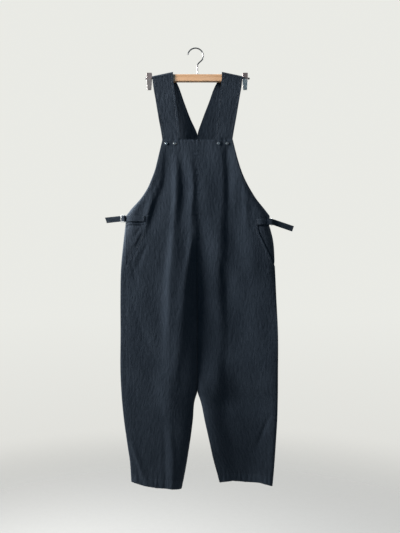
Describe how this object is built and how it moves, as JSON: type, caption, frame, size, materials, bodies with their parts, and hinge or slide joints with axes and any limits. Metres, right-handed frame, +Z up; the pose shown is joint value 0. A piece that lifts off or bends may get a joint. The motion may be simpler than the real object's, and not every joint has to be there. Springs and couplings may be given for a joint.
{
  "type": "dungarees on a clip hanger",
  "caption": "Dark woven dungarees with a high bib, wide straps over the hanger, slanted pockets, side tabs with slide rings and curved tapering legs, hung from a short wooden clip hanger.",
  "frame": {"origin": "the inside top of the hanger's hook, where the hook rests on what holds it", "axes": "+Z up along the garment, -Y out of the garment's front, +X towards the wearer's left side"},
  "size_m": [0.5829, 0.0495, 1.3657],
  "materials": {
    "cloth": "washed matte plain weave, near-black navy",
    "strap_cloth": "the same cloth, doubled and topstitched",
    "facing_cloth": "the same cloth, in shade",
    "stud": "small polished domes",
    "ring": "polished wire",
    "wood": "pale, satin, fine grain along the bar",
    "wire": "dull dark steel",
    "clip": "worn nickel-plated sheet"
  },
  "bodies": {
    "root": {"front_left_bib": "cloth", "front_left_hip": "cloth", "front_left_thigh": "cloth", "front_left_calf": "cloth", "front_right_bib": "cloth", "front_right_hip": "cloth", "front_right_thigh": "cloth", "front_right_calf": "cloth", "back_left_strap": "cloth", "back_left_bib": "cloth", "back_left_hip": "cloth", "back_left_thigh": "cloth", "back_left_calf": "cloth", "back_right_strap": "cloth", "back_right_bib": "cloth", "back_right_hip": "cloth", "back_right_thigh": "cloth", "back_right_calf": "cloth", "front_strap_left": "strap_cloth", "front_strap_right": "strap_cloth", "pocket_facing_left": "facing_cloth", "pocket_facing_right": "facing_cloth", "tab_carrier_left": "strap_cloth", "tab_carrier_right": "strap_cloth", "side_tab_left": "strap_cloth", "side_tab_right": "strap_cloth", "slide_ring_left": "ring", "slide_ring_right": "ring", "stud_1": "stud", "stud_2": "stud", "stud_3": "stud", "stud_4": "stud", "hanger_bar": "wood", "hanger_hook": "wire", "hanger_rod_left": "wire", "hanger_rod_right": "wire", "clip_left_barrel": "clip", "clip_left_jaw_front": "clip", "clip_left_jaw_back": "clip", "clip_right_barrel": "clip", "clip_right_jaw_front": "clip", "clip_right_jaw_back": "clip"}
  },
  "joints": []
}
